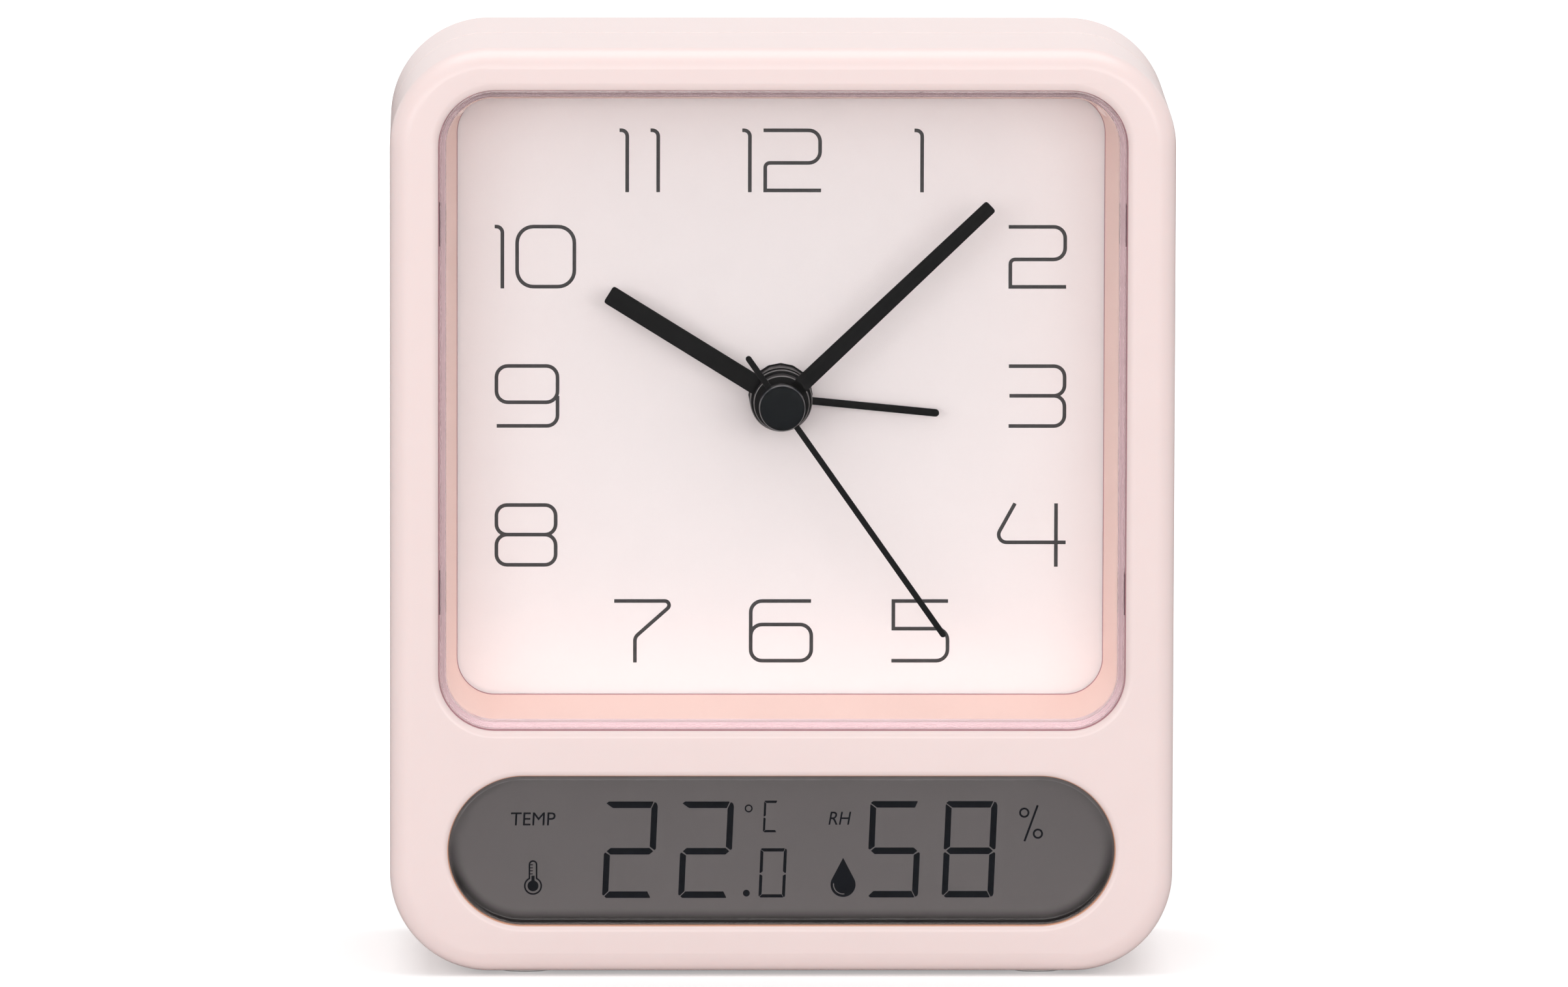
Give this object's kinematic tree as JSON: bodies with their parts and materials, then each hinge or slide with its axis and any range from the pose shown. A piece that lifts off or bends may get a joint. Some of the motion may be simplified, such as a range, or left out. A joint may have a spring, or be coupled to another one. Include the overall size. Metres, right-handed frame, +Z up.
{
  "type": "alarm clock",
  "caption": "Quartz alarm clock: a rounded square housing with a lens over a deep-set dial and geared hands, and a round-ended temperature and humidity display below.",
  "frame": {"origin": "on the table, under the middle of the housing: the centre of the bounding box's bottom face", "axes": "+Z up, +X to the right of someone who reads the dial, and the dial faces -Y"},
  "size_m": [0.11, 0.044, 0.131],
  "materials": {
    "case_plastic": "satin moulded",
    "lens_plastic": "clear moulded acrylic",
    "dial_paint": "matt printed sheet",
    "hand_paint": "black lacquer",
    "cap_plastic": "glossy dome",
    "window_plastic": "smoked moulded acrylic",
    "display_glass": "display glass",
    "black_plastic": "moulded",
    "white_acetal": "moulded",
    "brass": "turned",
    "steel": "bright plated",
    "copper": "enamelled wire winding",
    "ferrite": "sintered magnet",
    "circuit_board": "solder mask",
    "conductive_rubber": "layered elastomer",
    "foot_rubber": "soft matt",
    "cell_jacket": "printed film over steel"
  },
  "bodies": {
    "housing": {"front_case": "case_plastic", "rear_case": "case_plastic", "lens": "lens_plastic", "dial_plate": "dial_paint", "lcd_window": "window_plastic", "lcd_panel": "display_glass", "lcd_frame": "black_plastic", "humidity_sensor": "black_plastic", "movement_plate": "black_plastic", "movement_housing": "black_plastic", "sounder": "brass", "stator": "steel", "coil_core": "steel", "quartz_crystal": "steel", "rear_screw_1": "steel", "rear_screw_2": "steel", "rear_screw_3": "steel", "rear_screw_4": "steel", "movement_screw_left": "steel", "movement_screw_right": "steel", "contact_plate_upper": "steel", "contact_plate_lower": "steel", "contact_spring_upper": "steel", "contact_spring_lower": "steel", "coil": "copper", "movement_board": "circuit_board", "display_board": "circuit_board", "button_board": "circuit_board", "zebra_strip": "conductive_rubber", "foot_front_left": "foot_rubber", "foot_front_right": "foot_rubber", "foot_rear_left": "foot_rubber", "foot_rear_right": "foot_rubber", "battery_upper": "cell_jacket", "battery_lower": "cell_jacket"},
    "second_hands": {"second_hand": "hand_paint", "second_cap": "cap_plastic", "second_wheel": "steel"},
    "minute_hands": {"minute_hand": "hand_paint", "minute_pipe": "brass"},
    "hour_hands": {"hour_hand": "hand_paint", "hour_wheel": "white_acetal"},
    "alarm_hands": {"alarm_hand": "hand_paint", "alarm_wheel": "white_acetal"},
    "rotor": {"rotor": "ferrite"},
    "intermediate_wheel": {"intermediate_wheel": "white_acetal"},
    "third_wheel": {"third_wheel": "brass"},
    "centre_wheel": {"centre_wheel": "white_acetal"},
    "motion_wheel": {"motion_wheel": "white_acetal"},
    "time_set": {"time_set_gear": "white_acetal", "time_set_knob": "white_acetal"},
    "alarm_set": {"alarm_set_gear": "white_acetal", "alarm_set_knob": "white_acetal"},
    "alarm_switch": {"alarm_switch": "black_plastic"},
    "unit_button": {"unit_button": "white_acetal"},
    "battery_door": {"battery_door": "case_plastic"}
  },
  "joints": [
    {"name": "second_hand_turn", "type": "hinge", "parent": "housing", "child": "second_hands", "pos_m": [0, 0, 0.08], "axis": [0, 1, 0], "continuous": true},
    {"name": "minute_hand_turn", "type": "hinge", "parent": "housing", "child": "minute_hands", "pos_m": [0, 0, 0.08], "axis": [0, 1, 0], "continuous": true},
    {"name": "alarm_hand_turn", "type": "hinge", "parent": "housing", "child": "alarm_hands", "pos_m": [0, 0, 0.08], "axis": [0, 1, 0], "continuous": true},
    {"name": "rotor_turn", "type": "hinge", "parent": "housing", "child": "rotor", "pos_m": [0, 0, 0.0658], "axis": [0, 1, 0], "continuous": true},
    {"name": "intermediate_wheel_turn", "type": "hinge", "parent": "housing", "child": "intermediate_wheel", "pos_m": [0, 0, 0.0728], "axis": [0, 1, 0], "continuous": true},
    {"name": "third_wheel_turn", "type": "hinge", "parent": "housing", "child": "third_wheel", "pos_m": [0, 0, 0.0892], "axis": [0, 1, 0], "continuous": true},
    {"name": "centre_wheel_turn", "type": "hinge", "parent": "housing", "child": "centre_wheel", "pos_m": [0, 0, 0.08], "axis": [0, 1, 0], "continuous": true},
    {"name": "motion_wheel_turn", "type": "hinge", "parent": "housing", "child": "motion_wheel", "pos_m": [0.006, 0, 0.07602], "axis": [0, 1, 0], "continuous": true},
    {"name": "hour_hand_turn", "type": "hinge", "parent": "housing", "child": "hour_hands", "pos_m": [0, 0, 0.08], "axis": [0, 1, 0], "continuous": true},
    {"name": "time_set_knob_turn", "type": "hinge", "parent": "housing", "child": "time_set", "pos_m": [0.012, 0, 0.08], "axis": [0, 1, 0], "continuous": true},
    {"name": "alarm_set_knob_turn", "type": "hinge", "parent": "housing", "child": "alarm_set", "pos_m": [-0.012, 0, 0.08], "axis": [0, 1, 0], "continuous": true},
    {"name": "alarm_switch_slide", "type": "slide", "parent": "housing", "child": "alarm_switch", "axis": [1, 0, 0], "range_m": [0, 0.004]},
    {"name": "unit_button_press", "type": "slide", "parent": "housing", "child": "unit_button", "axis": [0, -1, 0], "range_m": [0, 0.0008], "stiffness_N_per_m": 1200, "springref_m": -0.0004},
    {"name": "battery_door_turn", "type": "hinge", "parent": "housing", "child": "battery_door", "pos_m": [0, 0.0212, 0.00755], "axis": [-1, 0, 0], "range_deg": [0, 100]}
  ],
  "couplings": [
    {"joint": "rotor_turn", "follows": "second_hand_turn", "ratio": 30},
    {"joint": "intermediate_wheel_turn", "follows": "second_hand_turn", "ratio": -5},
    {"joint": "third_wheel_turn", "follows": "second_hand_turn", "ratio": -0.13333},
    {"joint": "centre_wheel_turn", "follows": "second_hand_turn", "ratio": 0.016667},
    {"joint": "motion_wheel_turn", "follows": "minute_hand_turn", "ratio": -0.33333},
    {"joint": "hour_hand_turn", "follows": "minute_hand_turn", "ratio": 0.083333},
    {"joint": "time_set_knob_turn", "follows": "minute_hand_turn", "ratio": 1},
    {"joint": "alarm_set_knob_turn", "follows": "alarm_hand_turn", "ratio": -0.66667}
  ]
}
